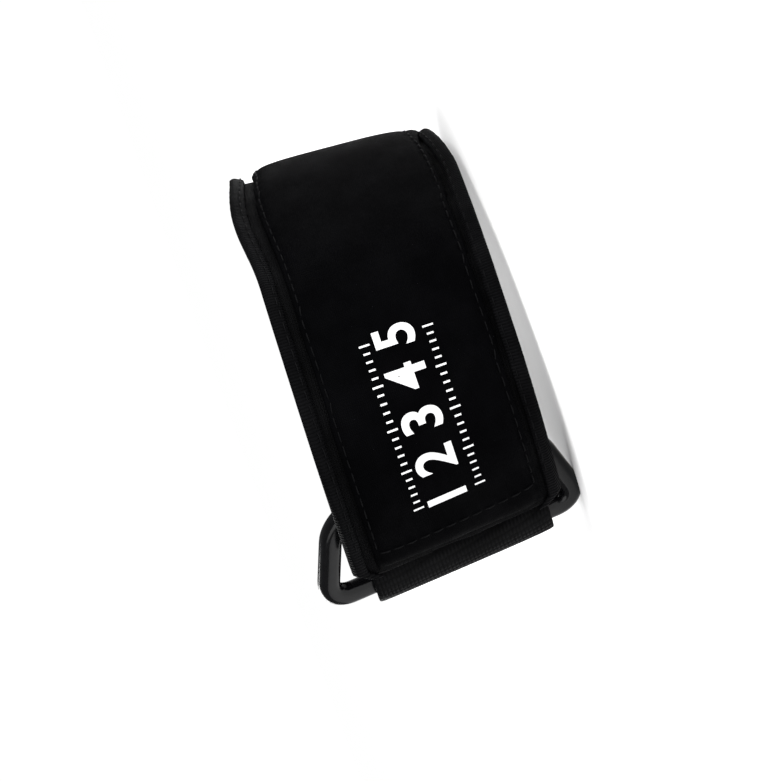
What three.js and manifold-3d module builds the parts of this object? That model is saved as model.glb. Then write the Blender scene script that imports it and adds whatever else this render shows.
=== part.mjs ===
// A tennis elbow strap: a padded band closed by a webbing strap through a plastic ring.
// Millimetres, +Z up. The band stands on its wrist-side rim, the way it rests on a table.

import * as THREE from 'three';
import { mergeVertices } from 'three/addons/utils/BufferGeometryUtils.js';
import Module from 'manifold-3d';

const wasm = await Module();
wasm.setup();

// Driving sizes of the hollow inside the strap
const armRadius = 41;          // centre to the flat side under the ring
const armSquareness = 2.35;    // 2 is a circle, more is squarer
const ringBearing = 42;        // degrees from the printed front (-Y) towards the underside (-X)
const leanMean = 0.10;         // outward lean of the wall for each mm towards the elbow rim
const leanTilt = 0.048;        // extra lean on the underside, less on the top
const clearance = 0.3;         // gap kept between touching pieces

// Padded band
const bandWidth = 50;
const backingThickness = 3;
const backingEndRadius = 3.5;
const rimFlare = 2.0;          // how far the rims curl outward
const flareReach = 6;          // width of the curled part
const flareStart = 16;         // distance from the band's ends at which the curl begins
const flareFull = 40;          // and at which it is full
const panelWristMargin = 4.4;
const panelElbowMargin = 5.4;
const panelWidth = bandWidth - panelWristMargin - panelElbowMargin;
const panelThickness = 3.2;
const panelEdge = 1.2;         // thickness at the sewn edge
const panelShoulder = 5;       // exponent of the pillow section
const panelEndFade = 5;        // length over which the pillow's ends drop
const panelColumns = 12;
const bandSteps = 4;           // stations between control points

// On its top side the strap's wrist rim is drawn up and its elbow rim bulges (degrees from the top)
const wristTuck = 3;
const tuckCentre = 4;
const tuckReach = 44;
const elbowBulge = 1.6;
const bulgeCentre = -36;
const bulgeReach = 30;

// Edge tapes
const tapeWidth = 3.5;
const tapeThickness = 0.9;
const tapeRound = 1.1;

// Webbing
const strapWidth = bandWidth - 2 * (tapeWidth + clearance);
const strapThickness = 2;
const strapTipRadius = 9;
const strapTipBlunt = 0.4;     // how much of the corner's arc the cut end takes off
const strapPull = 40;          // degrees below the ring's plane at which the strap leaves it
const wrapSlack = 0.15;        // extra room in the turn round a bar
const webbingRound = 0.6;      // corner of the webbing's section, as a share of half its thickness
const webbingSteps = 3;        // stations between control points
const strapTurnStep = 22.5;    // degrees between the control points round a bar
const keeperTurnStep = 30;
const keeperThickness = 1.6;

// Plastic ring: a trapezoid, with its far bar longer than the near bar under the band
const ringLength = 29;         // along the strap
const ringFarBar = bandWidth + 18;
const ringNearBar = bandWidth + 1.4;
const ringBar = 5;             // width of the four bars
const ringThickness = 4;
const ringCorner = 9.5;
const ringHoleCorner = 3;
const ringBevel = 1.4;
const ringShift = 7.6;         // ring's centre past the middle of the flat side
const ringRise = 1.75;         // ring's centre above the band's middle, towards the elbow rim
const keeperWidth = ringNearBar - 2 * ringBar - 4 * ringRise;

// Where the pieces start and end around the hollow, in degrees from the flat side
const backingHiddenEnd = -205;
const panelHiddenEnd = -172;
const strapRoot = -182;
const strapTip = 128;
const strapLeaves = 50;        // where the strap leaves the hollow's outline for the ring
const armStep = 15;            // degrees between the control points on the outline
const fullTurn = 360;
const backingPastCentre = 3.2; // end of the backing beyond the ring's centre
const panelPastCentre = 0.6;

// Resting on the wrist-side rim
const rimFlattening = 0.45;    // how much the cloth rim is pressed flat on the table
const leanLimit = 0.15;        // radians searched on each side of upright
const leanHalvings = 40;

const bearing = THREE.MathUtils.degToRad(ringBearing);
const flatNormal = new THREE.Vector3(-Math.sin(bearing), -Math.cos(bearing), 0);
const flatAlong = new THREE.Vector3(-Math.cos(bearing), Math.sin(bearing), 0);

// Heights above the flat side of the hollow, stacked from the inside out
const keeperWrap = ringBar / 2 + clearance + wrapSlack + keeperThickness / 2;
const strapWrap = ringBar / 2 + clearance + wrapSlack + strapThickness / 2;
const ringHeight = strapWrap + strapThickness / 2 - clearance;
const coverHeight = ringHeight + keeperWrap + keeperThickness / 2 + clearance;
const backingLift = clearance;
const strapLift = clearance + strapThickness / 2;
const ringHalf = ringLength / 2 - ringBar / 2;
const nearBar = ringShift - ringHalf;
const farBar = ringShift + ringHalf;

// Lean of the wall in the direction of a normal
function leanAlong(normal) {
  return normal.clone().multiplyScalar(leanMean - leanTilt * normal.x);
}

// A point of a layer that lies round the hollow: angle in degrees, height above the outline
function onArm(degrees, lift) {
  const angle = THREE.MathUtils.degToRad(degrees);
  const across = Math.cos(angle);
  const along = Math.sin(angle);
  const power = armSquareness;
  const radius = armRadius / (Math.abs(across) ** power + Math.abs(along) ** power) ** (1 / power);
  const slopeAcross = Math.sign(across) * Math.abs(across) ** (power - 1);
  const slopeAlong = Math.sign(along) * Math.abs(along) ** (power - 1);
  const normal = inFlatFrame(slopeAcross, slopeAlong).normalize();
  const at = inFlatFrame(across * radius, along * radius).addScaledVector(normal, lift);
  return { at, lean: leanAlong(normal) };
}

// A point of a layer that lies on the ring: distance along the strap, height above the flat side
function onRing(along, height) {
  return { at: inFlatFrame(armRadius + height, along), lean: leanAlong(flatNormal) };
}

function inFlatFrame(across, along) {
  return new THREE.Vector3().addScaledVector(flatNormal, across).addScaledVector(flatAlong, along);
}

// Two rails, one at each rim height, through the same control points
function railsThrough(points) {
  const half = bandWidth / 2;
  const rail = (side) => new THREE.CatmullRomCurve3(
    points.map(({ at, lean }) => at.clone().addScaledVector(lean, side * half)), false, 'centripetal');
  return { low: rail(-1), high: rail(1), spans: points.length - 1 };
}

// Stations along the rails, each with its place between the rails and its outward normal
function stationsAlong(rails, stepsPerSpan) {
  const count = rails.spans * stepsPerSpan;
  const stations = [];
  let travelled = 0;
  for (let i = 0; i <= count; i += 1) {
    const low = rails.low.getPoint(i / count);
    const high = rails.high.getPoint(i / count);
    const tangent = rails.low.getTangent(i / count).add(rails.high.getTangent(i / count)).normalize();
    const normal = new THREE.Vector3(-tangent.y, tangent.x, 0);
    const middle = low.clone().lerp(high, 0.5);
    if (i > 0) travelled += middle.distanceTo(stations[i - 1].middle);
    stations.push({ low, high, normal, middle, travelled });
  }
  for (const station of stations) station.left = travelled - station.travelled;
  return stations;
}

// A closed body through one outline at each station; outline points are [outward, height]
function loftThrough(stations, outlineAt) {
  const outlines = stations.map(outlineAt);
  const size = outlines[0].length;
  const positions = [];
  stations.forEach((station, row) => {
    for (const [outward, height] of outlines[row]) {
      const point = station.low.clone().lerp(station.high, height / bandWidth);
      point.addScaledVector(station.normal, outward);
      positions.push(point.x, point.y, height);
    }
  });
  const index = [];
  for (let row = 0; row + 1 < stations.length; row += 1) {
    for (let k = 0; k < size; k += 1) {
      const a = row * size + k;
      const b = row * size + (k + 1) % size;
      index.push(a, b, a + size, b, b + size, a + size);
    }
  }
  const last = (stations.length - 1) * size;
  const [first, final] = [outlines[0], outlines.at(-1)].map((outline) => (
    outline.map(([x, y]) => new THREE.Vector2(x, y))));
  const startCap = THREE.ShapeUtils.triangulateShape(first, []);
  const endCap = THREE.ShapeUtils.triangulateShape(final, []);
  const turn = THREE.ShapeUtils.isClockWise(first) ? -1 : 1;
  for (const [a, b, c] of startCap) index.push(...(turn > 0 ? [a, c, b] : [a, b, c]));
  for (const [a, b, c] of endCap) index.push(...(turn > 0 ? [a, b, c] : [a, c, b]).map((i) => i + last));
  const geometry = new THREE.BufferGeometry();
  geometry.setAttribute('position', new THREE.Float32BufferAttribute(positions, 3));
  geometry.setIndex(index);
  return facingOut(geometry);
}

// Turns the faces round where the body came out inside out
function facingOut(geometry) {
  const p = geometry.attributes.position;
  const corners = geometry.index.array;
  const [a, b, c] = [new THREE.Vector3(), new THREE.Vector3(), new THREE.Vector3()];
  let volume = 0;
  for (let i = 0; i < corners.length; i += 3) {
    a.fromBufferAttribute(p, corners[i]);
    b.fromBufferAttribute(p, corners[i + 1]);
    c.fromBufferAttribute(p, corners[i + 2]);
    volume += a.dot(b.cross(c));
  }
  if (volume < 0) geometry.setIndex(Array.from(corners).reverse());
  return geometry;
}

// Quarter-round corner: how far the side steps in at a distance from the end
function cornerStep(distance, radius) {
  if (distance >= radius) return 0;
  return radius - Math.sqrt(radius ** 2 - (radius - distance) ** 2);
}

// The outward curl of the two rims, none at the band's ends
function curl(height, { travelled, left }) {
  const edge = Math.min(height, bandWidth - height);
  const share = THREE.MathUtils.smoothstep(Math.min(travelled, left), flareStart, flareFull);
  return edge < flareReach ? share * rimFlare * (1 - edge / flareReach) ** 2 : 0;
}

// A smooth hump of height 1 round a bearing, in degrees
function hump(degrees, centre, reach) {
  const share = Math.min(1, Math.abs(degrees - centre) / reach);
  return Math.cos((share * Math.PI) / 2) ** 2;
}

// How far the cloth strays towards the elbow rim at a height, where it crosses the top side
function stray(height, { middle }) {
  const fromTop = THREE.MathUtils.radToDeg(Math.atan2(middle.y, middle.x));
  const up = height / bandWidth;
  const tuck = wristTuck * hump(fromTop, tuckCentre, tuckReach) * (1 - up);
  return tuck + elbowBulge * hump(fromTop, bulgeCentre, bulgeReach) * up ** 2;
}

// How the band leaves the outline and climbs over the keeper and the ring, as shares of that height
const riseOnArm = [
  { degrees: -100, share: 0.03 },
  { degrees: -85, share: 0.09 },
  { degrees: -70, share: 0.22 },
  { degrees: -57, share: 0.36 },
];
const riseToRing = [
  { beforeBar: 21, share: 0.28 },
  { beforeBar: 12.5, share: 0.78 },
  { beforeBar: 4, share: 0.985 },
  { beforeBar: -4, share: 1 },
];

// The inner face of the band, from a hidden end in degrees to a distance past the ring's centre
function bandPoints(hiddenEnd, pastCentre) {
  const onSkinEnd = riseOnArm[0].degrees - armStep;
  const steps = Math.round((onSkinEnd - hiddenEnd) / armStep);
  const points = [];
  for (let i = 0; i <= steps; i += 1) {
    points.push(onArm(THREE.MathUtils.lerp(hiddenEnd, onSkinEnd, i / steps), backingLift));
  }
  for (const { degrees, share } of riseOnArm) points.push(onArm(degrees, backingLift + share * coverHeight));
  for (const { beforeBar, share } of riseToRing) {
    points.push(onRing(nearBar - beforeBar, share * coverHeight));
  }
  points.push(onRing(ringShift + pastCentre, coverHeight));
  return points;
}

const backingStations = stationsAlong(
  railsThrough(bandPoints(backingHiddenEnd, backingPastCentre)), bandSteps);

function makeBacking() {
  const inset = tapeThickness + clearance;
  const step = tapeWidth + clearance;
  const ledge = clearance / 3;
  const heights = [inset, step, step + ledge, flareReach * 1.2, bandWidth / 2];
  const rows = [...heights, ...heights.slice(0, -1).reverse().map((h) => bandWidth - h)];
  return loftThrough(backingStations, (station) => {
    const cut = cornerStep(station.left, backingEndRadius);
    const moved = rows.map((h) => {
      const edge = Math.min(h, bandWidth - h);
      const height = h + Math.sign(bandWidth / 2 - h) * cut + stray(h, station);
      return { height, out: curl(h, station), taped: edge < step + ledge / 2 };
    });
    const outer = moved.map((m) => [m.out + backingThickness - (m.taped ? clearance : 0), m.height]);
    const inner = moved.map((m) => [m.out + (m.taped ? tapeThickness : 0), m.height]).reverse();
    return [...outer, ...inner];
  });
}

// A U-shaped tape folded over one rim
function makeTape(atElbow) {
  const low = -clearance;
  const high = backingThickness + tapeThickness;
  const profile = [
    [low, tapeWidth], [low, tapeRound], [low + tapeRound, 0], [high - tapeRound, 0], [high, tapeRound],
    [high, tapeWidth], [high - tapeThickness, tapeWidth], [high - tapeThickness, tapeThickness],
    [low + tapeThickness, tapeThickness], [low + tapeThickness, tapeWidth],
  ];
  return loftThrough(backingStations, (station) => {
    const cut = cornerStep(station.left, backingEndRadius);
    return profile.map(([out, edge]) => {
      const height = atElbow ? bandWidth - edge - cut : edge + cut;
      return [out + curl(edge, station), height + stray(atElbow ? bandWidth - edge : edge, station)];
    });
  });
}

// The raised pillow on the front of the backing
function makePanel() {
  const stations = stationsAlong(railsThrough(bandPoints(panelHiddenEnd, panelPastCentre)), bandSteps);
  const curled = rimFlare * Math.max(0, 1 - panelWristMargin / flareReach) ** 2;
  const under = backingThickness + clearance + curled;
  return loftThrough(stations, (station) => {
    const fromEnd = Math.min(station.travelled, station.left, panelEndFade);
    const rise = Math.sqrt(1 - (1 - fromEnd / panelEndFade) ** 2);
    const outline = [];
    for (let i = 0; i <= panelColumns; i += 1) {
      const across = -Math.cos((Math.PI * i) / panelColumns);
      const bulge = Math.sqrt(1 - Math.abs(across) ** panelShoulder);
      const height = panelWristMargin + (panelWidth * (1 + across)) / 2;
      outline.push([under + panelEdge + (panelThickness - panelEdge) * bulge * rise, height]);
    }
    outline.push([under, panelWristMargin + panelWidth], [under, panelWristMargin]);
    return outline.map(([out, height]) => [out, height + stray(height, station)]);
  });
}

// How the strap steps down off the backing's end, as shares of the backing's height
const strapSteps = [
  { degreesPast: 0, share: 1 },
  { degreesPast: 8, share: 0.64 },
  { degreesPast: 18, share: 0.08 },
  { degreesPast: 30, share: 0 },
];

// How its outer run closes up to the inner one after the ring, as shares of the strap's thickness
const strapClosing = [
  { degrees: 50, share: 0.8 },
  { degrees: 62, share: 0.25 },
  { degrees: 76, share: 0 },
];

// The webbing strap: sewn on the backing's hidden end, through the ring, round its far bar, back over itself
function strapPoints() {
  const overBacking = backingThickness + clearance;
  const overStrap = strapLift + strapThickness + clearance;
  const backingEnd = backingHiddenEnd + fullTurn;
  const points = [onArm(strapRoot + fullTurn, strapLift + overBacking)];
  points.push(onArm((strapRoot + fullTurn + backingEnd) / 2, strapLift + overBacking));
  for (const { degreesPast, share } of strapSteps) {
    points.push(onArm(backingEnd - degreesPast, strapLift + share * overBacking));
  }
  const skinStart = backingEnd - strapSteps.at(-1).degreesPast;
  const innerSteps = Math.round((skinStart - strapLeaves) / armStep);
  for (let i = 1; i <= innerSteps; i += 1) {
    points.push(onArm(THREE.MathUtils.lerp(skinStart, strapLeaves, i / innerSteps), strapLift));
  }
  for (let turn = 0; turn <= 180; turn += strapTurnStep) {
    const angle = THREE.MathUtils.degToRad(270 - strapPull - turn);
    points.push(onRing(farBar + strapWrap * Math.cos(angle), ringHeight + strapWrap * Math.sin(angle)));
  }
  for (const { degrees, share } of strapClosing) {
    points.push(onArm(degrees, overStrap + share * strapThickness));
  }
  const closed = strapClosing.at(-1).degrees;
  const outerSteps = Math.round((strapTip - closed) / armStep);
  for (let i = 1; i <= outerSteps; i += 1) {
    points.push(onArm(THREE.MathUtils.lerp(closed, strapTip, i / outerSteps), overStrap));
  }
  return points;
}

function webbingOutline(width, thickness, step) {
  const low = (bandWidth - width) / 2 + step;
  const high = bandWidth - low;
  const half = thickness / 2;
  const round = half * webbingRound;
  return [
    [-half, low + round], [-half + round, low], [half - round, low], [half, low + round],
    [half, high - round], [half - round, high], [-half + round, high], [-half, high - round],
  ];
}

function makeStrap() {
  const stations = stationsAlong(railsThrough(strapPoints()), webbingSteps);
  return loftThrough(stations, ({ left }) => (
    webbingOutline(strapWidth, strapThickness, cornerStep(left + strapTipBlunt, strapTipRadius))));
}

// The keeper's two runs under the backing, as shares of the height from the flat side to the backing.
// They hang a little lower than touching, in shares of the gap and the thickness between them.
const keeperRuns = {
  upperDrop: 1.2,
  apart: 1.3,
  upper: [{ beforeBar: 20, share: 0.34 }, { beforeBar: 14, share: 0.7 }, { beforeBar: 6, share: 0.95 }],
  lower: [{ beforeBar: 6, share: 0.24 }, { beforeBar: 13, share: 0.74 }, { beforeBar: 19.5, share: 0.38 }],
};

// The keeper: a webbing loop that holds the ring's near bar to the underside of the backing
function makeKeeper() {
  const upperDrop = (clearance + keeperThickness / 2) * keeperRuns.upperDrop;
  const lowerDrop = upperDrop + (clearance + keeperThickness) * keeperRuns.apart;
  const points = keeperRuns.upper.map(({ beforeBar, share }) => (
    onRing(nearBar - beforeBar, share * coverHeight - upperDrop)));
  for (let turn = 0; turn <= 180; turn += keeperTurnStep) {
    const angle = THREE.MathUtils.degToRad(90 - turn);
    points.push(onRing(nearBar + keeperWrap * Math.cos(angle), ringHeight + keeperWrap * Math.sin(angle)));
  }
  const [turnedBack, ...beside] = keeperRuns.lower;
  points.push(onRing(nearBar - turnedBack.beforeBar, turnedBack.share * coverHeight - clearance));
  for (const { beforeBar, share } of beside) {
    points.push(onRing(nearBar - beforeBar, share * coverHeight - lowerDrop));
  }
  const stations = stationsAlong(railsThrough(points), webbingSteps);
  return loftThrough(stations, () => webbingOutline(keeperWidth, keeperThickness, 0));
}

// The plastic ring, lying on the flat side and leaning with the wall
function makeRing() {
  const outline = roundedCorners(new THREE.Shape(), ringCorners(ringBevel), ringCorner - ringBevel);
  const hole = roundedCorners(new THREE.Path(), ringCorners(ringBar - ringBevel), ringHoleCorner + ringBevel);
  outline.holes.push(hole);
  const geometry = new THREE.ExtrudeGeometry(outline, {
    depth: ringThickness - 2 * ringBevel, bevelThickness: ringBevel, bevelSize: ringBevel,
    bevelSegments: 3, curveSegments: 6,
  });
  geometry.translate(0, 0, ringBevel - ringThickness / 2);
  const upward = leanAlong(flatNormal).add(new THREE.Vector3(0, 0, 1)).normalize();
  const facing = flatAlong.clone().cross(upward);
  const place = new THREE.Matrix4().makeBasis(flatAlong, upward, facing);
  const centre = onRing(ringShift, ringHeight);
  centre.at.z = bandWidth / 2 + ringRise;
  centre.at.addScaledVector(centre.lean, ringRise);
  place.setPosition(centre.at);
  geometry.deleteAttribute('normal');
  geometry.deleteAttribute('uv');
  return facingOut(mergeVertices(geometry.applyMatrix4(place)));
}

// The trapezoid's corners, counterclockwise, with every side moved in by the same distance
function ringCorners(inset) {
  const slope = (ringFarBar - ringNearBar) / 2 / ringLength;
  const x = ringLength / 2 - inset;
  const middle = (ringFarBar + ringNearBar) / 4 - inset * Math.hypot(1, slope);
  const near = middle - x * slope;
  const far = middle + x * slope;
  return [[-x, -near], [x, -far], [x, far], [-x, near]].map(([a, b]) => new THREE.Vector2(a, b));
}

// A closed path through corners that are each rounded with the same radius
function roundedCorners(path, corners, radius) {
  corners.forEach((corner, i) => {
    const before = corners.at(i - 1).clone().sub(corner).normalize();
    const after = corners[(i + 1) % corners.length].clone().sub(corner).normalize();
    const half = Math.acos(before.dot(after)) / 2;
    const centre = before.clone().add(after).setLength(radius / Math.sin(half)).add(corner);
    const start = before.multiplyScalar(radius / Math.tan(half)).add(corner).sub(centre).angle();
    const end = after.multiplyScalar(radius / Math.tan(half)).add(corner).sub(centre).angle();
    path.absarc(centre.x, centre.y, radius, start, end, false);
  });
  path.closePath();
  return path;
}

function solidOf(geometry) {
  return new wasm.Manifold(new wasm.Mesh({
    numProp: 3,
    vertProperties: new Float32Array(geometry.attributes.position.array),
    triVerts: new Uint32Array(geometry.index.array),
  }));
}

function geometryOf(solid) {
  const mesh = solid.getMesh();
  const geometry = new THREE.BufferGeometry();
  geometry.setAttribute('position', new THREE.Float32BufferAttribute(mesh.vertProperties, 3));
  geometry.setIndex(Array.from(mesh.triVerts));
  return geometry;
}

// The lowest point of a body once it leans by an angle about the strap's direction
function lowest(geometry, angle) {
  const lean = new THREE.Matrix4().makeRotationAxis(flatAlong, angle);
  const point = new THREE.Vector3();
  let low = Infinity;
  for (let i = 0; i < geometry.attributes.position.count; i += 1) {
    point.fromBufferAttribute(geometry.attributes.position, i).applyMatrix4(lean);
    low = Math.min(low, point.z);
  }
  return low;
}

// The lean at which the ring's end and the far side of the cloth rim both touch the table
function restingLean(ring, rim) {
  let [low, high] = [-leanLimit, leanLimit];
  for (let i = 0; i < leanHalvings; i += 1) {
    const middle = (low + high) / 2;
    if (lowest(ring, middle) < lowest(rim, middle) + rimFlattening) low = middle;
    else high = middle;
  }
  return (low + high) / 2;
}

const black = { color: 0x0b0b0d, metalness: 0 };
const neoprene = new THREE.MeshStandardMaterial({ ...black, roughness: 0.9 });
const knit = new THREE.MeshStandardMaterial({ color: 0x0e0e11, metalness: 0, roughness: 0.85 });
const tape = new THREE.MeshStandardMaterial({ color: 0x121214, metalness: 0, roughness: 0.6 });
const webbing = new THREE.MeshStandardMaterial({ color: 0x101012, metalness: 0, roughness: 0.75 });
const plastic = new THREE.MeshStandardMaterial({ color: 0x08080a, metalness: 0, roughness: 0.25 });

const pieces = [
  { name: 'backing_band', geometry: makeBacking(), material: neoprene },
  { name: 'front_panel', geometry: makePanel(), material: knit },
  { name: 'elbow_binding', geometry: makeTape(true), material: tape },
  { name: 'wrist_binding', geometry: makeTape(false), material: tape },
  { name: 'closure_strap', geometry: makeStrap(), material: webbing },
  { name: 'keeper_loop', geometry: makeKeeper(), material: webbing },
  { name: 'buckle', geometry: makeRing(), material: plastic },
];

const byName = Object.fromEntries(pieces.map((piece) => [piece.name, piece]));
const lean = restingLean(byName.buckle.geometry, byName.wrist_binding.geometry);
const rest = new THREE.Matrix4().makeRotationAxis(flatAlong, lean);
for (const piece of pieces) piece.geometry.applyMatrix4(rest);

// Set down on the table, with the cloth rim pressed flat there
const bounds = new THREE.Box3();
for (const { geometry } of pieces) {
  bounds.union(new THREE.Box3().setFromBufferAttribute(geometry.attributes.position));
}
const centre = bounds.getCenter(new THREE.Vector3());
const floor = lowest(byName.buckle.geometry, 0);
for (const piece of pieces) piece.geometry.translate(-centre.x, -centre.y, -floor);
byName.wrist_binding.geometry = geometryOf(
  solidOf(byName.wrist_binding.geometry).trimByPlane([0, 0, 1], 0));

const group = new THREE.Group();
for (const { name, geometry, material } of pieces) {
  const mesh = new THREE.Mesh(geometry, material);
  mesh.name = name;
  group.add(mesh);
}

export default group;
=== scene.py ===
import bpy
import math
import numpy as np
from mathutils import Matrix, Vector
from mathutils.bvhtree import BVHTree


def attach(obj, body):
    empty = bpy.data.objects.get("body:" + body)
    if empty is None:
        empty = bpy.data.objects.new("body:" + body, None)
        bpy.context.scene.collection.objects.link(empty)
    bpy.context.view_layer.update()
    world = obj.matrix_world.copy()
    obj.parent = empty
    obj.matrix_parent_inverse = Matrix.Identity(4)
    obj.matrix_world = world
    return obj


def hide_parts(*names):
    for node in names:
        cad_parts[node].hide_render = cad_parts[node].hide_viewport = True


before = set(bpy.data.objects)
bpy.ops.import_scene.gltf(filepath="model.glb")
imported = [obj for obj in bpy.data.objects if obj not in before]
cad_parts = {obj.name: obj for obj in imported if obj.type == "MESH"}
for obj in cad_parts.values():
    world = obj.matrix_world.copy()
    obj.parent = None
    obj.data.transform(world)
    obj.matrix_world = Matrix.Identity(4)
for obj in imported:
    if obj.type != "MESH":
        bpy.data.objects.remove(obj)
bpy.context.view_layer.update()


# The backing band: 3 mm neoprene foam with a black jersey knit laminated on both faces.
# It is cut as one strip and bent round from its hidden end to just past the ring.
BACKING_VOXEL = 0.00065
BACKING_SMOOTHING = 2
BACKING_RIPPLE = 0.00012
RIPPLES_ROUND = 23.0
RIPPLE_SLANT = 260.0
RIPPLE_FADES = 9.0
KNIT_BLACK = (0.0016, 0.0016, 0.0019, 1.0)
KNIT_WORN = (0.0040, 0.0040, 0.0046, 1.0)
KNIT_PITCH = 0.85
MERGE_DISTANCE = 0.000002
SMOOTHING_FACTOR = 0.5
IN_MM = 1000


def cad_copy(node, name):
    """A merged copy of a CAD node's mesh, as a piece of its own that replaces the node."""
    bpy.ops.object.select_all(action="DESELECT")
    piece = bpy.data.objects.new(name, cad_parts[node].data.copy())
    bpy.context.collection.objects.link(piece)
    bpy.context.view_layer.objects.active = piece
    piece.select_set(True)
    piece.data.materials.clear()
    bpy.ops.object.mode_set(mode="EDIT")
    bpy.ops.mesh.select_all(action="SELECT")
    bpy.ops.mesh.remove_doubles(threshold=MERGE_DISTANCE)
    bpy.ops.object.mode_set(mode="OBJECT")
    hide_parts(node)
    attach(piece, "root")
    return piece


def remeshed(piece, voxel, smoothing):
    """The piece as an even mesh of small quads, with its corners softened."""
    remesh = piece.modifiers.new("even_quads", "REMESH")
    remesh.mode = "VOXEL"
    remesh.voxel_size = voxel
    bpy.ops.object.modifier_apply(modifier=remesh.name)
    smooth = piece.modifiers.new("soften", "SMOOTH")
    smooth.factor = SMOOTHING_FACTOR
    smooth.iterations = smoothing
    bpy.ops.object.modifier_apply(modifier=smooth.name)
    bpy.ops.object.shade_smooth()


def vertices_of(piece):
    """The places of the piece's vertices, one row each."""
    points = np.empty(len(piece.data.vertices) * 3)
    piece.data.vertices.foreach_get("co", points)
    return points.reshape(-1, 3)


def normals_of(piece):
    """The normals of the piece's vertices, one row each."""
    normals = np.empty(len(piece.data.vertices) * 3)
    piece.data.vertices.foreach_get("normal", normals)
    return normals.reshape(-1, 3)


def move_vertices(piece, points):
    """Sets the piece's vertices to new places."""
    piece.data.vertices.foreach_set("co", points.ravel())
    piece.data.update()


# The strap's own axis, square to the level part of the elbow rim, and the middle of that rim
DRAWN_UP_FROM = -72
DRAWN_UP_TO = 55
rim_points = vertices_of(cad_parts["elbow_binding"])
rim_middle = (rim_points.min(axis=0) + rim_points.max(axis=0)) / 2
rim_turn = np.degrees(np.arctan2(rim_points[:, 1], rim_points[:, 0]))
level_rim = rim_points[(rim_turn < DRAWN_UP_FROM) | (rim_turn > DRAWN_UP_TO)]
rim_axis = np.linalg.svd(level_rim - level_rim.mean(axis=0), full_matrices=False)[2][2]
rim_axis = rim_axis * np.sign(rim_axis[2])
STANDING = Vector((0, 0, 1)).rotation_difference(Vector(rim_axis)).to_matrix()
RIM_TOP = ((level_rim - rim_middle) @ rim_axis).max()
BAND_WIDTH = 0.050
GIRTH_RADIUS = 0.047
EDGE_WINDOW = 0.03


def round_the_strap(points):
    """The angle of each point round the strap's axis, and its height above the wrist rim."""
    local = (points - rim_middle) @ np.array(STANDING)
    return np.arctan2(local[:, 1], local[:, 0]), local[:, 2] - RIM_TOP + BAND_WIDTH


def edge_heights(piece, angles):
    """The lowest and highest height of a piece at each angle round the strap."""
    angle, height = round_the_strap(vertices_of(piece))
    low = []
    high = []
    for place in angles:
        near = height[np.abs((angle - place + math.pi) % (2 * math.pi) - math.pi) < EDGE_WINDOW]
        low.append(near.min() if len(near) else np.nan)
        high.append(near.max() if len(near) else np.nan)
    return np.array(low), np.array(high)


def wrap_uv(piece, middle):
    """Gives the piece a UV map in millimetres: along the strap and across it."""
    angle, height = round_the_strap(vertices_of(piece))
    turned = (angle - middle + math.pi) % (2 * math.pi) - math.pi
    across = np.stack([turned * GIRTH_RADIUS * IN_MM, height * IN_MM], axis=1)
    corners = np.empty(len(piece.data.loops), dtype=np.int32)
    piece.data.loops.foreach_get("vertex_index", corners)
    layer = piece.data.uv_layers.new(name="along_and_across")
    layer.data.foreach_set("uv", across[corners].ravel())


def node(tree, kind, **inputs):
    """A shader node with its inputs set, or linked where they are other nodes' sockets."""
    made = tree.nodes.new(kind)
    for key, value in inputs.items():
        if key in ("operation", "blend_type", "data_type", "uv_map"):
            setattr(made, key, value)
            continue
        socket = made.inputs[int(key[1:])] if key[0] == "i" and key[1:].isdigit() else made.inputs[key]
        if isinstance(value, bpy.types.NodeSocket):
            tree.links.new(value, socket)
        else:
            socket.default_value = value
    return made


def calc(tree, operation, first, second=0.0, third=0.0):
    """The output of a math node."""
    return node(tree, "ShaderNodeMath", operation=operation, i0=first, i1=second, i2=third).outputs[0]


def new_group(name, inputs, outputs):
    """A shader node group with named inputs and outputs."""
    group = bpy.data.node_groups.new(name, "ShaderNodeTree")
    for label, kind, value in inputs:
        socket = group.interface.new_socket(name=label, in_out="INPUT", socket_type=kind)
        if value is not None:
            socket.default_value = value
    for label, kind in outputs:
        group.interface.new_socket(name=label, in_out="OUTPUT", socket_type=kind)
    return group, group.nodes.new("NodeGroupInput"), group.nodes.new("NodeGroupOutput")


KNIT_COURSES = 1.35
KNIT_SLANT = 1.5


def knit_group():
    """Jersey knit: columns of small V stitches. Pitch is the width of a column."""
    group, given, made = new_group(
        "jersey_knit",
        [("Surface", "NodeSocketVector", None), ("Pitch", "NodeSocketFloat", 1.0)],
        [("Height", "NodeSocketFloat"), ("Gaps", "NodeSocketFloat")])
    apart = node(group, "ShaderNodeSeparateXYZ", Vector=given.outputs["Surface"])
    column = calc(group, "DIVIDE", apart.outputs["X"], given.outputs["Pitch"])
    place = calc(group, "FRACT", column)
    slant = calc(group, "ABSOLUTE", calc(group, "SUBTRACT", place, 0.5))
    course = calc(group, "DIVIDE", apart.outputs["Y"], given.outputs["Pitch"])
    slanted = calc(group, "MULTIPLY", slant, KNIT_SLANT)
    leg = calc(group, "FRACT", calc(group, "MULTIPLY_ADD", course, KNIT_COURSES, slanted))
    round_leg = calc(group, "SINE", calc(group, "MULTIPLY", leg, math.pi))
    half_column = calc(group, "FRACT", calc(group, "MULTIPLY", column, 2.0))
    round_column = calc(group, "SINE", calc(group, "MULTIPLY", half_column, math.pi))
    height = calc(group, "MULTIPLY", round_leg, calc(group, "POWER", round_column, 0.5))
    group.links.new(height, made.inputs["Height"])
    group.links.new(calc(group, "SUBTRACT", 1.0, height), made.inputs["Gaps"])
    return group


CLOUD_SIZE = 0.08
CLOUDS = {"From Min": 0.42, "From Max": 0.75}
LINT_SIZE = 2.6
LINT_AMOUNT = 0.3
LINT_SPECKS = {"From Min": 0.66, "From Max": 0.78}


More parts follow.
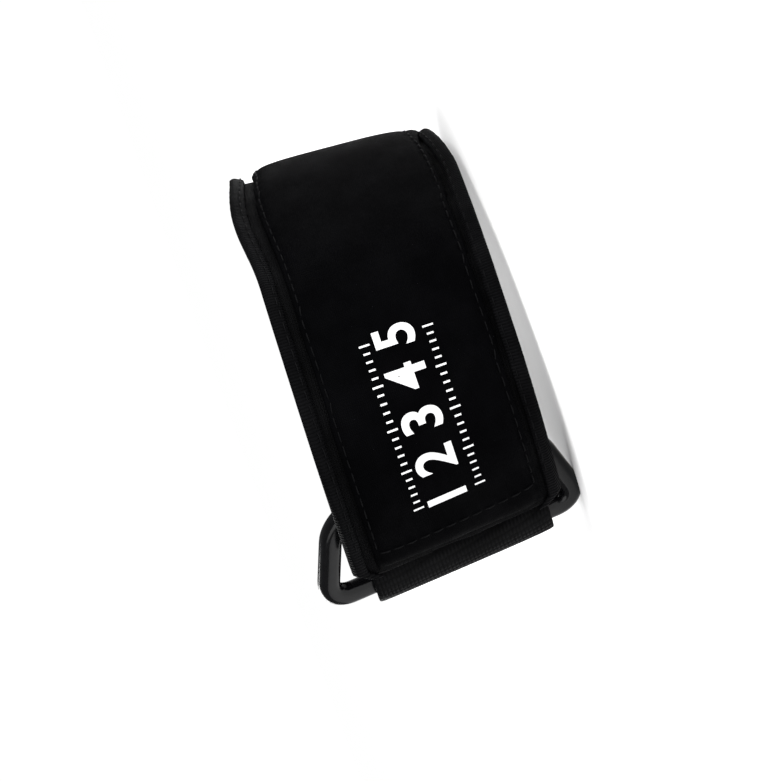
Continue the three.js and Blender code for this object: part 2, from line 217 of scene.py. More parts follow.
def span(tree, value, limits):
    """A value spread between named limits, each the name of a Map Range input."""
    spread = node(tree, "ShaderNodeMapRange", Value=value)
    for limit, number in limits.items():
        spread.inputs[limit].default_value = number
    return spread.outputs[0]


def wear_group():
    """Soft cloudy rubbing and a little lint: a mask from 0, as new, to 1, rubbed."""
    group, given, made = new_group(
        "rubbed_cloth",
        [("Surface", "NodeSocketVector", None), ("Size", "NodeSocketFloat", CLOUD_SIZE),
         ("Lint", "NodeSocketFloat", LINT_AMOUNT)],
        [("Rubbed", "NodeSocketFloat")])
    clouds = node(group, "ShaderNodeTexNoise", Vector=given.outputs["Surface"],
                  Scale=given.outputs["Size"], Detail=6.0, Roughness=0.6)
    soft = span(group, clouds.outputs[0], CLOUDS)
    fibres = node(group, "ShaderNodeTexNoise", Vector=given.outputs["Surface"],
                  Scale=LINT_SIZE, Detail=3.0)
    specks = span(group, fibres.outputs[0], LINT_SPECKS)
    lint = calc(group, "MULTIPLY", specks, given.outputs["Lint"])
    group.links.new(calc(group, "MAXIMUM", soft, lint), made.inputs["Rubbed"])
    return group


KNIT = knit_group()
WEAR = wear_group()
# The share of the cloth's colour left in the gaps between threads: painted shade
GAP_SHADE = (0.45, 0.45, 0.45, 1.0)
RUBBED_GLOSS = 0.12
THREAD_RELIEF = 0.0003
SHEEN_ROUGHNESS = 0.4
SHEEN_TINT = (0.6, 0.62, 0.7, 1.0)


def cloth_material(name, pattern, pitch, fresh, worn, relief, roughness, sheen, specular):
    """Black cloth: a thread pattern for the relief and for painted shade in its gaps, rubbing for the
    colour and the gloss.
    """
    material = bpy.data.materials.new(name)
    material.use_nodes = True
    tree = material.node_tree
    shader = tree.nodes["Principled BSDF"]
    surface = node(tree, "ShaderNodeUVMap", uv_map="along_and_across").outputs["UV"]
    threads = tree.nodes.new("ShaderNodeGroup")
    threads.node_tree = pattern
    threads.inputs["Pitch"].default_value = pitch
    tree.links.new(surface, threads.inputs["Surface"])
    rubbing = tree.nodes.new("ShaderNodeGroup")
    rubbing.node_tree = WEAR
    tree.links.new(surface, rubbing.inputs["Surface"])
    tint = node(tree, "ShaderNodeMix", data_type="RGBA", i0=rubbing.outputs["Rubbed"])
    tint.inputs[6].default_value = fresh
    tint.inputs[7].default_value = worn
    # Painted shade: the colour is darkened in the gaps between the threads, where shade falls
    deep = node(tree, "ShaderNodeMix", data_type="RGBA", blend_type="MULTIPLY",
                i0=threads.outputs["Gaps"])
    tree.links.new(tint.outputs[2], deep.inputs[6])
    deep.inputs[7].default_value = GAP_SHADE
    tree.links.new(deep.outputs[2], shader.inputs["Base Color"])
    rubbed_gloss = {"To Min": roughness, "To Max": roughness - RUBBED_GLOSS}
    gloss = span(tree, rubbing.outputs["Rubbed"], rubbed_gloss)
    tree.links.new(gloss, shader.inputs["Roughness"])
    bump = node(tree, "ShaderNodeBump", Height=threads.outputs["Height"], Strength=relief)
    bump.inputs["Distance"].default_value = THREAD_RELIEF
    tree.links.new(bump.outputs[0], shader.inputs["Normal"])
    shader.inputs["Specular IOR Level"].default_value = specular
    shader.inputs["Sheen Weight"].default_value = sheen
    shader.inputs["Sheen Roughness"].default_value = SHEEN_ROUGHNESS
    shader.inputs["Sheen Tint"].default_value = SHEEN_TINT
    return material


BAND_MIDDLE = math.radians(-35)
neoprene = cloth_material(
    "neoprene_jersey", KNIT, KNIT_PITCH, KNIT_BLACK, KNIT_WORN,
    relief=0.6, roughness=0.75, sheen=0.006, specular=0.045)

backing = cad_copy("backing_band", "backing_cloth")
remeshed(backing, BACKING_VOXEL, BACKING_SMOOTHING)
backing_points = vertices_of(backing)
backing_angle, backing_height = round_the_strap(backing_points)
ripple = np.sin(backing_angle * RIPPLES_ROUND + backing_height * RIPPLE_SLANT)
ripple *= np.sin(backing_angle * RIPPLE_FADES)
move_vertices(backing, backing_points + normals_of(backing) * (ripple * BACKING_RIPPLE)[:, None])
wrap_uv(backing, BAND_MIDDLE)
backing.data.materials.append(neoprene)


# The raised panel: a strip of foam in a smooth stretch knit, sewn down along both long edges.
# The foam swells between the two seams, so its face is crowned and its edges drop to the band.
PANEL_VOXEL = 0.00092
PANEL_SOFTENING = 3
PANEL_SWELL = 0.0006
SWELL_FRAMES = 12
SWELL_PRESSURE = 1.2
PANEL_SMOOTHING = 12
NEARLY_STILL = 1e-9
PANEL_SEAM_INSET = 0.0013
SEAM_DEPTH = 0.0003
SEAM_SPREAD = 0.0008
SEAM_TUG = 0.2
WRIST_LEAN = 0.0023
LEAN_START = math.radians(-12)
LEAN_FULL = math.radians(10)
LEAN_SPREAD = 0.0022
STITCH_PITCH = 0.0032
PANEL_BLACK = (0.0009, 0.0009, 0.0012, 1.0)
PANEL_WORN = (0.0021, 0.0021, 0.0026, 1.0)
PANEL_PITCH = 0.62
TURN_STEP = 2.0
PANEL_TURNS = (-140, 40)

panel = cad_copy("front_panel", "panel_cloth")
remeshed(panel, PANEL_VOXEL, PANEL_SOFTENING)
panel_turns = np.radians(np.arange(*PANEL_TURNS, TURN_STEP))
panel_low, panel_high = edge_heights(panel, panel_turns)


def from_panel_edge(points):
    """How far each point is, in height, inside the nearer long edge of the panel."""
    angle, height = round_the_strap(points)
    low = np.interp(angle, panel_turns, panel_low)
    high = np.interp(angle, panel_turns, panel_high)
    return np.minimum(height - low, high - height)


panel_rest = vertices_of(panel)
edge = from_panel_edge(panel_rest)
sewn = panel.vertex_groups.new(name="sewn_edges")
sewn.add([int(i) for i in np.nonzero(edge < PANEL_SEAM_INSET)[0]], 1.0, "REPLACE")
swelling = panel.modifiers.new("swelling", "CLOTH")
swelling.settings.quality = 4
swelling.settings.mass = 0.2
swelling.settings.tension_stiffness = 12
swelling.settings.compression_stiffness = 12
swelling.settings.bending_stiffness = 2.0
swelling.settings.use_pressure = True
swelling.settings.uniform_pressure_force = SWELL_PRESSURE
swelling.settings.vertex_group_mass = "sewn_edges"
swelling.settings.effector_weights.gravity = 0.0
for step in range(1, SWELL_FRAMES + 1):
    bpy.context.scene.frame_set(step)
bpy.ops.object.modifier_apply(modifier=swelling.name)
bpy.context.scene.frame_set(1)
moved = vertices_of(panel) - panel_rest
length = np.linalg.norm(moved, axis=1, keepdims=True)
kept = np.minimum(1.0, PANEL_SWELL / np.maximum(length, NEARLY_STILL))
move_vertices(panel, panel_rest + moved * kept)
inner = panel.vertex_groups.new(name="away_from_edges")
inner.add([int(i) for i in np.nonzero(edge >= PANEL_SEAM_INSET)[0]], 1.0, "REPLACE")
settle = panel.modifiers.new("settle", "SMOOTH")
settle.vertex_group = "away_from_edges"
settle.iterations = PANEL_SMOOTHING
bpy.ops.object.modifier_apply(modifier=settle.name)
finer = panel.modifiers.new("finer", "SUBSURF")
finer.levels = 1
finer.render_levels = 1
bpy.ops.object.modifier_apply(modifier=finer.name)

# Leans the foam over the wrist tape where the strap is drawn up, near the panel's hidden end
panel_points = vertices_of(panel)
panel_angle, panel_height = round_the_strap(panel_points)
drawn_up = np.clip((panel_angle - LEAN_START) / (LEAN_FULL - LEAN_START), 0.0, 1.0)
from_wrist = panel_height - np.interp(panel_angle, panel_turns, panel_low)
lean = WRIST_LEAN * drawn_up * np.exp(-(from_wrist / LEAN_SPREAD) ** 2)
down = np.array(STANDING @ Vector((0, 0, -1)))
move_vertices(panel, panel_points + lean[:, None] * down)

# Presses the two long seams into the foam, a little deeper at every stitch
panel_points = vertices_of(panel)
panel_angle, _ = round_the_strap(panel_points)
away = np.abs(from_panel_edge(panel_points) - PANEL_SEAM_INSET)
stitches_along = panel_angle * GIRTH_RADIUS / STITCH_PITCH
tug = 1 - SEAM_TUG + SEAM_TUG * np.cos(stitches_along * 2 * math.pi)
depth = SEAM_DEPTH * np.exp(-(away / SEAM_SPREAD) ** 2) * tug
move_vertices(panel, panel_points - normals_of(panel) * depth[:, None])
wrap_uv(panel, BAND_MIDDLE)
panel.data.materials.append(cloth_material(
    "panel_knit", KNIT, PANEL_PITCH, PANEL_BLACK, PANEL_WORN,
    relief=0.45, roughness=0.66, sheen=0.003, specular=0.012))


# The edge tapes: grosgrain ribbon folded in half over each rim of the band and sewn through.
# The fold is rounded, and the ribs of the ribbon run across the tape.
TAPE_VOXEL = 0.0004
TAPE_SOFTENING = 3
RIB_PITCH = 0.7
TAPE_BLACK = (0.0015, 0.0015, 0.0018, 1.0)
TAPE_WORN = (0.0042, 0.0042, 0.0048, 1.0)


def rib_group():
    """Grosgrain ribs across the tape. Pitch is the distance from rib to rib."""
    group, given, made = new_group(
        "grosgrain_ribs",
        [("Surface", "NodeSocketVector", None), ("Pitch", "NodeSocketFloat", RIB_PITCH)],
        [("Height", "NodeSocketFloat"), ("Gaps", "NodeSocketFloat")])
    apart = node(group, "ShaderNodeSeparateXYZ", Vector=given.outputs["Surface"])
    along = calc(group, "FRACT", calc(group, "DIVIDE", apart.outputs["X"], given.outputs["Pitch"]))
    rib = calc(group, "SINE", calc(group, "MULTIPLY", along, math.pi))
    group.links.new(rib, made.inputs["Height"])
    group.links.new(calc(group, "POWER", calc(group, "SUBTRACT", 1.0, rib), 2.0), made.inputs["Gaps"])
    return group


RIBS = rib_group()
tape_cloth = cloth_material(
    "edge_tape", RIBS, RIB_PITCH, TAPE_BLACK, TAPE_WORN,
    relief=0.7, roughness=0.62, sheen=0.004, specular=0.025)
tapes = []
for side in ("elbow", "wrist"):
    tape = cad_copy(side + "_binding", side + "_tape")
    remeshed(tape, TAPE_VOXEL, TAPE_SOFTENING)
    wrap_uv(tape, BAND_MIDDLE)
    tape.data.materials.append(tape_cloth)
    tapes.append(tape)


# The stitching: black polyester thread, a lockstitch row along each edge of the panel
# and along each tape. Every stitch is a short length of thread sunk into the cloth at its ends.
THREAD_RADIUS = 0.00019
THREAD_SIDES = 8
THREAD_LIFT = 0.55
THREAD_TWIST = 900.0
THREAD_BLACK = (0.0014, 0.0014, 0.0016, 1.0)
# The lighter colour painted on the ridges of the twist, as highlight
THREAD_TWIST_HIGHLIGHT = (0.0038, 0.0038, 0.0044, 1.0)
CAST_FROM = 0.09
STITCH_LENGTH = 0.0025
STITCH_BENDS = (-0.33, 0.33)
STITCH_DIP = 1.6
STITCH_TAPER = 0.3
LOOK_AHEAD = 0.01
SKIP_AHEAD = 0.02
SHORTEST_LOOK = 0.0001
STITCH_MIDDLE = 0.5
STITCH_FORWARD = 0.6
PANEL_START = math.radians(38)
PANEL_END = math.radians(-139)
TAPE_START = math.radians(70)
TAPE_END = math.radians(-138)
TAPE_SEAM = 0.0026
TAPE_TURNS = (-140, 72)


def surface_of(*pieces):
    """One search tree over the faces of several pieces."""
    points = []
    faces = []
    for piece in pieces:
        start = len(points)
        points.extend(v.co.copy() for v in piece.data.vertices)
        faces.extend([start + i for i in p.vertices] for p in piece.data.polygons)
    return BVHTree.FromPolygons(points, faces)


def axis_and_outward(angle, height):
    """The point on the strap's axis at a height, and the way out from it at an angle."""
    outward = STANDING @ Vector((math.cos(angle), math.sin(angle), 0))
    level = STANDING @ Vector((0, 0, height - BAND_WIDTH + RIM_TOP)) + Vector(rim_middle)
    return level, outward


def on_outside(tree, angle, height):
    """The point and the normal of the outer face at an angle and a height on the strap."""
    level, outward = axis_and_outward(angle, height)
    hit, normal, _, _ = tree.ray_cast(level + outward * CAST_FROM, -outward)
    return hit, normal


def on_inside(tree, angle, height):
    """The point and the normal of the inner face at an angle and a height on the strap."""
    level, outward = axis_and_outward(angle, height)
    hit, normal, _, _ = tree.ray_cast(level, outward)
    return hit, normal


def thread_stitch():
    """One stitch lying along X: a thread that dips at both ends."""
    bpy.ops.object.select_all(action="DESELECT")
    bpy.ops.mesh.primitive_cylinder_add(
        vertices=THREAD_SIDES, radius=THREAD_RADIUS, depth=STITCH_LENGTH,
        rotation=(0, math.pi / 2, 0))
    stitch = bpy.context.active_object
    bpy.ops.object.transform_apply(location=True, rotation=True, scale=True)
    bpy.ops.object.mode_set(mode="EDIT")
    bpy.ops.mesh.select_all(action="SELECT")
    bpy.ops.mesh.bisect(plane_co=(0, 0, 0), plane_no=(1, 0, 0))
    for cut in STITCH_BENDS:
        bpy.ops.mesh.select_all(action="SELECT")
        bpy.ops.mesh.bisect(plane_co=(cut * STITCH_LENGTH, 0, 0), plane_no=(1, 0, 0))
    bpy.ops.object.mode_set(mode="OBJECT")
    points = vertices_of(stitch)
    share = points[:, 0] / (STITCH_LENGTH / 2)
    points[:, 2] -= THREAD_RADIUS * STITCH_DIP * np.abs(share) ** 3
    points[:, 1:] *= (1 - STITCH_TAPER * share ** 2)[:, None]
    move_vertices(stitch, points)
    return stitch


def stitch_row(name, template, spots):
    """A row of stitches, each copy set on the cloth with its own place and slant."""
    rows = []
    for here, outward, forward in spots:
        side = outward.cross(forward).normalized()
        along = side.cross(outward).normalized()
        turn = Matrix((along, side, outward)).transposed()
        copy = template.data.copy()
        copy.transform(turn.to_4x4())
        copy.transform(Matrix.Translation(here + outward * THREAD_RADIUS * THREAD_LIFT))
        stitch = bpy.data.objects.new(name, copy)
        bpy.context.collection.objects.link(stitch)
        rows.append(stitch)
    bpy.ops.object.select_all(action="DESELECT")
    for stitch in rows:
        stitch.select_set(True)
    bpy.context.view_layer.objects.active = rows[0]
    bpy.ops.object.join()
    row = bpy.context.active_object
    row.name = name
    bpy.ops.object.shade_smooth()
    row.data.materials.append(thread_gloss)
    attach(row, "root")
    return row


def spots_round(tree, turns, heights, start, end):
    """Stitch spots along a line of heights, a stitch pitch apart, from one angle to another."""
    spots = []
    angle = start
    while angle > end:
        here, outward = on_outside(tree, angle, np.interp(angle, turns, heights))
        ahead = angle - LOOK_AHEAD
        there, _ = on_outside(tree, ahead, np.interp(ahead, turns, heights))
        if here is not None and there is not None:
            spots.append((here, outward, (there - here).normalized()))
            angle -= LOOK_AHEAD * STITCH_PITCH / max((there - here).length, SHORTEST_LOOK)
        else:
            angle -= SKIP_AHEAD
    return spots


def spots_between(tree, face, start, end):
    """Stitch spots on a straight line from one angle and height to another."""
    length = math.hypot((end[0] - start[0]) * GIRTH_RADIUS, end[1] - start[1])
    count = max(1, round(length / STITCH_PITCH))
    spots = []
    for i in range(count):
        at, ahead = (
            [a + (b - a) * share / count for a, b in zip(start, end)]
            for share in (i + STITCH_MIDDLE, i + STITCH_FORWARD))
        here, outward = face(tree, *at)
        there, _ = face(tree, *ahead)
        if here is not None and there is not None:
            spots.append((here, outward, (there - here).normalized()))
    return spots


def stitched_box(tree, face, turns, heights, crossed):
    """Stitch spots round a box, given its two angles and two heights, with a cross in it or not."""
    (a, b), (low, high) = turns, heights
    corners = [(a, low), (b, low), (b, high), (a, high)]
    lines = list(zip(corners, corners[1:] + corners[:1]))
    if crossed:
        lines += [(corners[0], corners[2]), (corners[3], corners[1])]
    return [spot for start, end in lines for spot in spots_between(tree, face, start, end)]


def thread_material():
    """Twisted polyester thread with a soft gloss, its twist as slanting bands of painted highlight."""
    material = bpy.data.materials.new("black_thread")
    material.use_nodes = True
    tree = material.node_tree
    shader = tree.nodes["Principled BSDF"]
    place = node(tree, "ShaderNodeTexCoord").outputs["Object"]
    twist = node(tree, "ShaderNodeTexWave", Vector=place, Scale=THREAD_TWIST, Distortion=1.0)
    # Painted highlight: lighter slanting bands on the ridges of the twist, with the thread's black
    # between them
    tint = node(tree, "ShaderNodeMix", data_type="RGBA", i0=twist.outputs["Fac"])
    tint.inputs[6].default_value = THREAD_BLACK
    tint.inputs[7].default_value = THREAD_TWIST_HIGHLIGHT
    tree.links.new(tint.outputs[2], shader.inputs["Base Color"])
    shader.inputs["Roughness"].default_value = 0.5
    shader.inputs["Specular IOR Level"].default_value = 0.045
    return material


thread_gloss = thread_material()
stitch = thread_stitch()
panel_face = surface_of(panel)
band_faces = surface_of(backing, *tapes)
tape_turns = np.radians(np.arange(*TAPE_TURNS, TURN_STEP))
elbow_rim = edge_heights(tapes[0], tape_turns)[1]
wrist_rim = edge_heights(tapes[1], tape_turns)[0]
seam_low = panel_low + PANEL_SEAM_INSET
seam_high = panel_high - PANEL_SEAM_INSET
panel_span = (PANEL_START, PANEL_END)
tape_span = (TAPE_START, TAPE_END)
for label, tree, turns, heights, ends in (
        ("panel_stitches_wrist", panel_face, panel_turns, seam_low, panel_span),
        ("panel_stitches_elbow", panel_face, panel_turns, seam_high, panel_span),
        ("tape_stitches_wrist", band_faces, tape_turns, wrist_rim + TAPE_SEAM, tape_span),
        ("tape_stitches_elbow", band_faces, tape_turns, elbow_rim - TAPE_SEAM, tape_span)):
    row = stitch_row(label, stitch, spots_round(tree, turns, heights, *ends))
for label, angle in (("panel_stitches_back", PANEL_START), ("panel_stitches_ledge", PANEL_END)):
    low = np.interp(angle, panel_turns, panel_low) + PANEL_SEAM_INSET
    high = np.interp(angle, panel_turns, panel_high) - PANEL_SEAM_INSET
    spots = spots_between(panel_face, on_outside, (angle, low), (angle, high))
    row = stitch_row(label, stitch, spots)


# The printed scale: white rubbery ink on the panel, a plain row of numbers for how tight to pull,
# with a fine row of marks on each side. It is printed flat and follows the panel's face.
PRINT_MIDDLE_HEIGHT = 0.0243
PRINT_START = math.radians(-130.2)
PRINT_RADIUS = 0.0535
PRINT_CUTS = 52
PRINT_FIRST_CUT = -0.006
PRINT_CUT_PITCH = 0.001
NUMBERS = "12345"
NUMBER_SIZE = 0.0125
NUMBER_PITCH = 0.0098
NUMBER_BOLDNESS = 0.00025
MARKS = 21
MARK_PITCH = 0.00195
MARK_OFFSET = 0.0072
MARK_WIDTH = 0.00045
SHORT_MARK = 0.0015
LONG_MARK = 0.0024
LONG_EVERY = 5
INK_LIFT = 0.00016
INK_GRAIN = 900.0
INK_THIN = (0.62, 0.62, 0.62, 1.0)
INK_FULL = (0.86, 0.86, 0.86, 1.0)


def printed_flat():
    """The whole print as one flat mesh: X along the strap, Y towards the elbow rim."""
    shapes = []
    for i, digit in enumerate(NUMBERS):
        bpy.ops.object.text_add(location=(NUMBER_PITCH * i, 0, 0))
        number = bpy.context.active_object
        number.data.body = digit
        number.data.size = NUMBER_SIZE
        number.data.align_x = "CENTER"
        number.data.align_y = "CENTER"
        number.data.offset = NUMBER_BOLDNESS
        bpy.ops.object.convert(target="MESH")
        shapes.append(bpy.context.active_object)
    for side in (-1, 1):
        for i in range(MARKS):
            place = (MARK_PITCH * i, side * MARK_OFFSET, 0)
            bpy.ops.mesh.primitive_plane_add(size=1, location=place)
            mark = bpy.context.active_object
            mark.scale = (MARK_WIDTH, SHORT_MARK if i % LONG_EVERY else LONG_MARK, 1)
            shapes.append(mark)
    bpy.ops.object.select_all(action="DESELECT")
    for shape in shapes:
        shape.select_set(True)
    bpy.context.view_layer.objects.active = shapes[0]
    bpy.ops.object.transform_apply(location=True, rotation=True, scale=True)
    bpy.ops.object.join()
    flat = bpy.context.active_object
    flat.name = "printed_scale"
    return flat


scale_print = printed_flat()
bpy.ops.object.mode_set(mode="EDIT")
bpy.ops.mesh.select_all(action="SELECT")
for i in range(PRINT_CUTS):
    cut = PRINT_FIRST_CUT + PRINT_CUT_PITCH * i
    bpy.ops.mesh.select_all(action="SELECT")
    bpy.ops.mesh.bisect(plane_co=(cut, 0, 0), plane_no=(1, 0, 0))
bpy.ops.object.mode_set(mode="OBJECT")
laid = vertices_of(scale_print)
for i, (along, across, _) in enumerate(laid.copy()):
    angle = PRINT_START + along / PRINT_RADIUS
    here, outward = on_outside(panel_face, angle, PRINT_MIDDLE_HEIGHT + across)
    laid[i] = here + outward * INK_LIFT
move_vertices(scale_print, laid)
bpy.ops.object.shade_smooth()


def ink_material():
    """White screen-print ink, faintly uneven in a fine grain."""
    material = bpy.data.materials.new("white_ink")
    material.use_nodes = True
    tree = material.node_tree
    shader = tree.nodes["Principled BSDF"]
    place = node(tree, "ShaderNodeTexCoord").outputs["Object"]
    grain = node(tree, "ShaderNodeTexNoise", Vector=place, Scale=INK_GRAIN, Detail=4.0)
    tint = node(tree, "ShaderNodeMix", data_type="RGBA", i0=grain.outputs[0])
    tint.inputs[6].default_value = INK_THIN
    tint.inputs[7].default_value = INK_FULL
    tree.links.new(tint.outputs[2], shader.inputs["Base Color"])
    shader.inputs["Roughness"].default_value = 0.6
    return material


scale_print.data.materials.append(ink_material())
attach(scale_print, "root")


# The webbing: black woven polyester, 2 mm thick for the closure strap and 1.6 mm for the keeper.
# The strap is sewn to the band's hidden end; the keeper is doubled round the ring's near bar.
WEBBING_BLACK = (0.0019, 0.0019, 0.0023, 1.0)
WEBBING_WORN = (0.0060, 0.0060, 0.0068, 1.0)
WEBBING_PITCH = 0.9
WEBBING_ROUNDING = 2
OVER_SHARE = 0.35
STRAP_MIDDLE = math.radians(160)
KEEPER_MIDDLE = math.radians(-120)
SEWN_TO_BAND = (math.radians(52.5), math.radians(69))
HOOK_PATCH = (math.radians(104), math.radians(138))
STRAP_SEAMS = (0.0068, 0.0432)
KEEPER_SEAM = (math.radians(-108), math.radians(-105))
KEEPER_EDGES = (0.0105, 0.0395)
WEBBING_PRESS = 0.00012


def weave_group():
    """Plain weave: threads over and under each other. Pitch is the width of one thread."""
    group, given, made = new_group(
        "plain_weave",
        [("Surface", "NodeSocketVector", None), ("Pitch", "NodeSocketFloat", 1.0)],
        [("Height", "NodeSocketFloat"), ("Gaps", "NodeSocketFloat")])
    apart = node(group, "ShaderNodeSeparateXYZ", Vector=given.outputs["Surface"])
    warp = calc(group, "DIVIDE", apart.outputs["X"], given.outputs["Pitch"])
    weft = calc(group, "DIVIDE", apart.outputs["Y"], given.outputs["Pitch"])
    both = calc(group, "ADD", calc(group, "FLOOR", warp), calc(group, "FLOOR", weft))
    over = calc(group, "ABSOLUTE", calc(group, "MODULO", both, 2.0))
    warp_bump = calc(group, "SINE", calc(group, "MULTIPLY", calc(group, "FRACT", warp), math.pi))
    weft_bump = calc(group, "SINE", calc(group, "MULTIPLY", calc(group, "FRACT", weft), math.pi))
    product = calc(group, "MULTIPLY", warp_bump, weft_bump)
    bumps = calc(group, "MULTIPLY", product, 1 - OVER_SHARE)
    lifted = calc(group, "MULTIPLY_ADD", over, OVER_SHARE, bumps)
    group.links.new(lifted, made.inputs["Height"])
    group.links.new(calc(group, "SUBTRACT", 1.0, product), made.inputs["Gaps"])
    return group


WEAVE = weave_group()
webbing_cloth = cloth_material(
    "black_webbing", WEAVE, WEBBING_PITCH, WEBBING_BLACK, WEBBING_WORN,
    relief=0.8, roughness=0.58, sheen=0.006, specular=0.06)


def smooth_webbing(cad_node, name, middle):
    """The CAD strip with its quads restored and rounded by one subdivision."""
    piece = cad_copy(cad_node, name)
    bpy.ops.object.mode_set(mode="EDIT")
    bpy.ops.mesh.select_all(action="SELECT")
    bpy.ops.mesh.tris_convert_to_quads()
    bpy.ops.object.mode_set(mode="OBJECT")
    rounder = piece.modifiers.new("rounder", "SUBSURF")
    rounder.levels = WEBBING_ROUNDING
    rounder.render_levels = WEBBING_ROUNDING
    bpy.ops.object.modifier_apply(modifier=rounder.name)
    bpy.ops.object.shade_smooth()
    wrap_uv(piece, middle)
    piece.data.materials.append(webbing_cloth)
    return piece


strap = smooth_webbing("closure_strap", "strap_webbing", STRAP_MIDDLE)
keeper = smooth_webbing("keeper_loop", "keeper_webbing", KEEPER_MIDDLE)
strap_face = surface_of(strap)
keeper_face = surface_of(keeper)
for label, tree, face, turns, heights, crossed in (
        ("strap_box_stitches", strap_face, on_outside, SEWN_TO_BAND, STRAP_SEAMS, True),
        ("hook_patch_stitches", strap_face, on_outside, HOOK_PATCH, STRAP_SEAMS, False),
        ("keeper_stitches", keeper_face, on_inside, KEEPER_SEAM, KEEPER_EDGES, False)):
    pressed = [
        (here - outward * WEBBING_PRESS, outward, along)
        for here, outward, along in stitched_box(tree, face, turns, heights, crossed)]
    row = stitch_row(label, stitch, pressed)


# The ring: one injection-moulded loop of glossy black plastic with rounded bars, a trapezoid
# whose far bar is longer. The keeper holds its near bar, and the strap pulls round its far bar.
RING_LENGTH = 0.029
RING_FAR_BAR = 0.068
RING_NEAR_BAR = 0.0514
RING_THICKNESS = 0.004
RING_BAR = 0.005
RING_CORNER = 0.0095
RING_CORNER_STEPS = 12
RING_ROUNDING = 0.0017
RING_ROUNDING_STEPS = 6
RING_SHARP_EDGE = math.radians(50)
PLASTIC_BLACK = (0.0014, 0.0014, 0.0017, 1.0)
PLASTIC_WORN = (0.0034, 0.0034, 0.0040, 1.0)
PLASTIC_SHINE = 0.22
PEEL_SIZE = 420.0
PEEL_STRENGTH = 0.12
PEEL_DEPTH = 0.0002
SCRATCH_SIZE = 1500.0
SMEARS = {"To Min": 0.10, "To Max": 0.26}

# The ring's place: its middle and its three axes, found from the CAD ring's own points
ring_points = vertices_of(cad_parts["buckle"])
ring_mean = ring_points.mean(axis=0)
ring_up, ring_along, ring_out = np.linalg.svd(ring_points - ring_mean, full_matrices=False)[2]
ring_up = ring_up * np.sign(ring_up[2])
along_ring = (ring_points - ring_mean) @ ring_along
wide = np.abs((ring_points - ring_mean) @ ring_up)
if wide[along_ring > 0].max() < wide[along_ring < 0].max():
    ring_along = -ring_along
ring_out = np.cross(ring_along, ring_up)
ring_axes = np.stack([ring_along, ring_up, ring_out])
ring_spread = (ring_points - ring_mean) @ ring_axes.T
ring_middle = ring_mean + (ring_spread.min(axis=0) + ring_spread.max(axis=0)) / 2 @ ring_axes

# The flat outline, its corners and its hole, then the thickness and the rounded bars
bpy.ops.object.select_all(action="DESELECT")
bpy.ops.mesh.primitive_plane_add(size=1)
ring = bpy.context.active_object
ring.name = "moulded_ring"
ring.scale = (RING_LENGTH, RING_FAR_BAR, 1)
bpy.ops.object.transform_apply(location=True, rotation=True, scale=True)
bpy.ops.object.mode_set(mode="EDIT")
bpy.ops.mesh.select_mode(type="VERT")
bpy.ops.mesh.select_all(action="DESELECT")
bpy.ops.object.mode_set(mode="OBJECT")
for corner in ring.data.vertices:
    corner.select = corner.co.x < 0
bpy.ops.object.mode_set(mode="EDIT")
bpy.ops.transform.resize(value=(1, RING_NEAR_BAR / RING_FAR_BAR, 1))
bpy.ops.mesh.select_all(action="SELECT")
bpy.ops.mesh.bevel(
    offset=RING_CORNER, offset_type="OFFSET", segments=RING_CORNER_STEPS, affect="VERTICES")
bpy.ops.mesh.select_all(action="SELECT")
bpy.ops.mesh.inset(thickness=RING_BAR, depth=0)
bpy.ops.mesh.delete(type="FACE")
bpy.ops.mesh.select_all(action="SELECT")
bpy.ops.mesh.extrude_region_move(TRANSFORM_OT_translate={"value": (0, 0, RING_THICKNESS)})
bpy.ops.mesh.select_all(action="SELECT")
bpy.ops.mesh.normals_make_consistent(inside=False)
bpy.ops.object.mode_set(mode="OBJECT")
rounding = ring.modifiers.new("rounding", "BEVEL")
rounding.width = RING_ROUNDING
rounding.segments = RING_ROUNDING_STEPS
rounding.use_clamp_overlap = False
rounding.limit_method = "ANGLE"
rounding.angle_limit = RING_SHARP_EDGE
bpy.ops.object.modifier_apply(modifier=rounding.name)
bpy.ops.object.shade_smooth()
ring_place = Matrix([Vector(axis) for axis in ring_axes]).transposed().to_4x4()
ring.data.transform(Matrix.Translation((0, 0, -RING_THICKNESS / 2)))
ring.data.transform(ring_place)
ring.data.transform(Matrix.Translation(Vector(ring_middle)))


def plastic_material():
    """Glossy moulded plastic: fine handling scratches and a faint orange-peel."""
    material = bpy.data.materials.new("gloss_plastic")
    material.use_nodes = True
    tree = material.node_tree
    shader = tree.nodes["Principled BSDF"]
    place = node(tree, "ShaderNodeTexCoord").outputs["Object"]
    peel = node(tree, "ShaderNodeTexNoise", Vector=place, Scale=PEEL_SIZE, Detail=2.0)
    scratches = node(tree, "ShaderNodeTexNoise", Vector=place, Scale=SCRATCH_SIZE, Detail=5.0)
    tree.links.new(span(tree, scratches.outputs[0], SMEARS), shader.inputs["Roughness"])
    shader.inputs["Specular IOR Level"].default_value = PLASTIC_SHINE
    tint = node(tree, "ShaderNodeMix", data_type="RGBA", i0=peel.outputs[0])
    tint.inputs[6].default_value = PLASTIC_BLACK
    tint.inputs[7].default_value = PLASTIC_WORN
    tree.links.new(tint.outputs[2], shader.inputs["Base Color"])
    bump = node(tree, "ShaderNodeBump", Height=peel.outputs[0], Strength=PEEL_STRENGTH)
    bump.inputs["Distance"].default_value = PEEL_DEPTH
    tree.links.new(bump.outputs[0], shader.inputs["Normal"])
    return material


ring.data.materials.append(plastic_material())
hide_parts("buckle")
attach(ring, "root")
bpy.data.objects.remove(stitch)


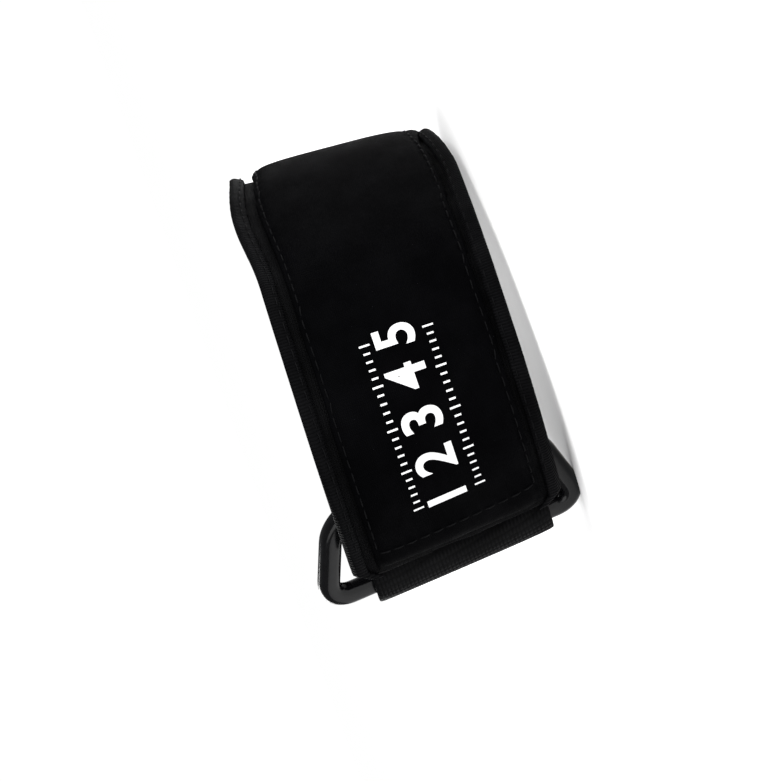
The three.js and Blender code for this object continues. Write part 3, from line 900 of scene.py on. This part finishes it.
# The table, the light and the camera: a plain white table, soft light from large panels,
# and the photograph's view, level with the strap and rolled so that its axis slants up.
TABLE_SIZE = 30
TABLE_WHITE = (0.96, 0.96, 0.96, 1.0)
CAMERA_DISTANCE = 0.90
PIXELS_PER_MM = 4.387
PHOTO_SIZE = (780, 781)
PHOTO_MIDDLE = (394.5, 345.4)
PHOTO_ROLL = math.radians(18.6)
SENSOR = 36.0
SKY_STRENGTH = 1.04
GLOSS_DIMMING = 0.84
SKY_WHITE = (1.0, 1.0, 1.0, 1.0)

bpy.ops.object.select_all(action="DESELECT")
bpy.ops.mesh.primitive_plane_add(size=TABLE_SIZE)
table = bpy.context.active_object
table.name = "table"
table_paint = bpy.data.materials.new("pale_table")
table_paint.use_nodes = True
table_shader = table_paint.node_tree.nodes["Principled BSDF"]
table_shader.inputs["Base Color"].default_value = TABLE_WHITE
table_shader.inputs["Roughness"].default_value = 1.0
table_shader.inputs["Specular IOR Level"].default_value = 0.0
table.data.materials.append(table_paint)

right = STANDING @ Vector((-math.sin(PHOTO_ROLL), 0, -math.cos(PHOTO_ROLL)))
upward = STANDING @ Vector((math.cos(PHOTO_ROLL), 0, -math.sin(PHOTO_ROLL)))
backward = right.cross(upward)
strap_middle = Vector(rim_middle) + STANDING @ Vector((0, 0, RIM_TOP - BAND_WIDTH / 2))
shift_right = (PHOTO_SIZE[0] / 2 - PHOTO_MIDDLE[0]) / PIXELS_PER_MM / IN_MM
shift_up = (PHOTO_MIDDLE[1] - PHOTO_SIZE[1] / 2) / PIXELS_PER_MM / IN_MM
aim = strap_middle + right * shift_right + upward * shift_up
camera = bpy.data.objects.new("camera", bpy.data.cameras.new("camera"))
bpy.context.collection.objects.link(camera)
camera.data.sensor_width = SENSOR
camera.data.lens = SENSOR * CAMERA_DISTANCE / (PHOTO_SIZE[0] / PIXELS_PER_MM / IN_MM)
camera.matrix_world = Matrix.Translation(aim + backward * CAMERA_DISTANCE) @ (
    Matrix((right, upward, backward)).transposed().to_4x4())
bpy.context.scene.camera = camera


def panel_light(name, place, size, power):
    """A large square light that faces the strap."""
    lamp = bpy.data.lights.new(name, "AREA")
    lamp.size = size
    lamp.energy = power
    light = bpy.data.objects.new(name, lamp)
    light.location = place
    light.rotation_euler = (-Vector(place)).to_track_quat("-Z", "Y").to_euler()
    bpy.context.collection.objects.link(light)


panel_light("key_light", place=(1.2, -0.75, 0.75), size=0.7, power=20)
panel_light("fill_light", place=(-0.9, -0.9, 0.5), size=0.9, power=6)
panel_light("back_light", place=(-0.5, 1.3, 0.8), size=0.9, power=16)

world = bpy.data.worlds.new("soft_studio")
bpy.context.scene.world = world
world.use_nodes = True
sky = world.node_tree.nodes["Background"]
sky.inputs["Color"].default_value = SKY_WHITE
rays = world.node_tree.nodes.new("ShaderNodeLightPath")
glossy = rays.outputs["Is Glossy Ray"]
dimmed = calc(world.node_tree, "MULTIPLY_ADD", glossy, -GLOSS_DIMMING, SKY_STRENGTH)
world.node_tree.links.new(dimmed, sky.inputs["Strength"])
bpy.context.scene.view_settings.view_transform = "Standard"
